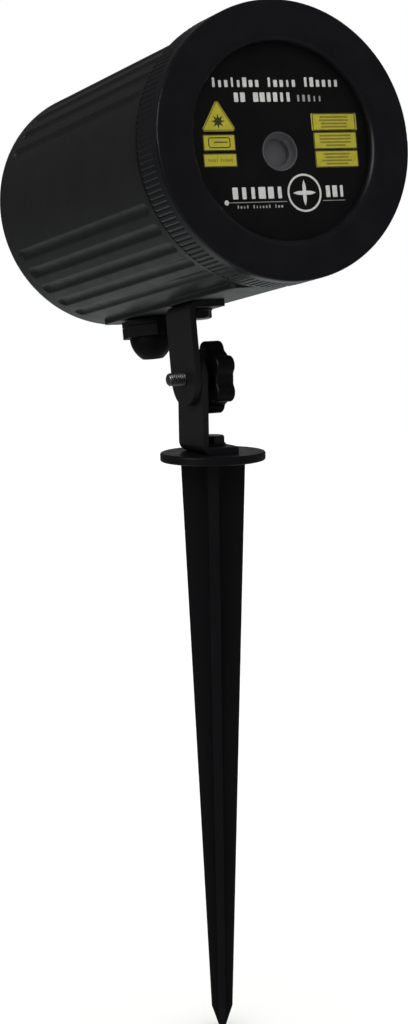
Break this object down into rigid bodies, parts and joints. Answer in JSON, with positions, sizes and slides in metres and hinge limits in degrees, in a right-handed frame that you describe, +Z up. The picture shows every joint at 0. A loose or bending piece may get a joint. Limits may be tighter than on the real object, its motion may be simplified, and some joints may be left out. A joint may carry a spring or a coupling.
{
  "type": "light projector stake",
  "caption": "Outdoor light projector: a fluted barrel head with a knurled front ring, tilting on a bracket and hand knob over a cross-bladed ground stake.",
  "frame": {"origin": "centre of the stake flange's underside, at soil level", "axes": "+Z up, spike along -Z, the head faces -Y at rest (tipped 9.5 degrees up), tilt pivot along X, knob on the +X side"},
  "size_m": [0.12, 0.2056, 0.4714],
  "materials": {
    "housing_grey": "cast aluminium with a fine-textured satin powder coat",
    "bezel_black": "moulded black with a knurled band",
    "panel_black": "flat matt black",
    "label_yellow": "yellow film stickers with plain dark bars",
    "bracket_black": "black powder-coated plate",
    "steel": "zinc-plated steel",
    "knob_black": "moulded black",
    "stake_black": "moulded black with a light sheen",
    "gland_black": "moulded black nylon",
    "rubber_black": "matt rubber",
    "brass": "turned brass",
    "aperture_grey": "dark grey anodised aluminium",
    "screw_black": "black oxide steel",
    "aluminium": "plain milled aluminium",
    "glass": "coated optical glass",
    "board_green": "green circuit board",
    "component_dark": "black moulded components",
    "gear_white": "white acetal gear"
  },
  "bodies": {
    "stake": {"stake": "stake_black", "stake_insert": "brass", "foot_screw": "screw_black", "foot_washer": "screw_black"},
    "lower_arm": {"lower_bracket": "bracket_black"},
    "clamp_slide": {"clamp_washer": "screw_black"},
    "clamp_knob": {"star_knob": "knob_black", "clamp_stud": "steel"},
    "head": {"upper_bracket": "bracket_black", "bracket_washer": "screw_black", "bracket_screw": "screw_black", "housing_shell": "housing_grey", "front_panel": "panel_black", "panel_gasket": "rubber_black", "aperture_tube": "aperture_grey", "window_glass": "glass", "window_ring": "rubber_black", "caution_label": "label_yellow", "info_labels": "label_yellow", "gland_body": "gland_black", "gland_gasket": "rubber_black", "gland_locknut": "gland_black", "chassis_plate": "aluminium", "chassis_screws": "steel", "driver_board": "board_green", "board_spacers": "brass", "board_screws": "steel", "board_parts": "component_dark", "laser_block": "aluminium", "green_laser": "brass", "red_laser": "brass", "blue_laser": "brass", "laser_grub_screws": "steel", "mirror_base": "aluminium", "fold_mirrors": "glass", "combiner_mirrors": "glass", "wheel_carrier": "aluminium", "wheel_motor": "steel", "grating_holder": "aluminium", "fixed_grating": "glass"},
    "ring_slide": {"slip_ring": "gland_black"},
    "front_ring": {"front_ring": "bezel_black"},
    "gland_slide": {"gland_seal": "rubber_black"},
    "gland_nut": {"gland_nut": "gland_black"},
    "grating_wheel": {"grating_wheel": "gear_white", "turning_grating": "glass", "wheel_clip": "steel"},
    "motor_pinion": {"motor_pinion": "gear_white", "motor_shaft": "steel"}
  },
  "joints": [
    {"name": "pan_swivel", "type": "hinge", "parent": "stake", "child": "lower_arm", "pos_m": [0, 0, 0.004], "axis": [0, 0, 1], "range_deg": [-180, 180]},
    {"name": "head_tilt", "type": "hinge", "parent": "lower_arm", "child": "head", "pos_m": [-0.0127, 0, 0.038], "axis": [1, 0, 0], "range_deg": [-30, 50]},
    {"name": "clamp_advance", "type": "slide", "parent": "lower_arm", "child": "clamp_slide", "axis": [1, 0, 0], "range_m": [0, 0.0016]},
    {"name": "knob_turn", "type": "hinge", "parent": "clamp_slide", "child": "clamp_knob", "pos_m": [0, 0, 0.038], "axis": [1, 0, 0], "range_deg": [0, 540]},
    {"name": "ring_advance", "type": "slide", "parent": "head", "child": "ring_slide", "axis": [0, -0.9863, 0.165], "range_m": [0, 0.0061]},
    {"name": "ring_turn", "type": "hinge", "parent": "ring_slide", "child": "front_ring", "pos_m": [0, -0.07417, 0.14369], "axis": [0, -0.9863, 0.165], "range_deg": [0, 1440]},
    {"name": "gland_advance", "type": "slide", "parent": "head", "child": "gland_slide", "axis": [0, -0.165, -0.9863], "range_m": [0, 0.0031]},
    {"name": "gland_turn", "type": "hinge", "parent": "gland_slide", "child": "gland_nut", "pos_m": [0, 0.06459, 0.05801], "axis": [0, -0.165, -0.9863], "range_deg": [0, 720]},
    {"name": "grating_spin", "type": "hinge", "parent": "head", "child": "grating_wheel", "pos_m": [-0.0008, -0.04229, 0.1343], "axis": [0, -0.9863, 0.165], "continuous": true},
    {"name": "pinion_spin", "type": "hinge", "parent": "head", "child": "motor_pinion", "pos_m": [-0.0008, -0.03932, 0.15205], "axis": [0, -0.9863, 0.165], "continuous": true}
  ],
  "couplings": [
    {"joint": "clamp_advance", "follows": "knob_turn", "m_per_rad": 0.00015915},
    {"joint": "ring_advance", "follows": "ring_turn", "m_per_rad": 0.00023873},
    {"joint": "gland_advance", "follows": "gland_turn", "m_per_rad": 0.00023873},
    {"joint": "pinion_spin", "follows": "grating_spin", "ratio": -4}
  ]
}
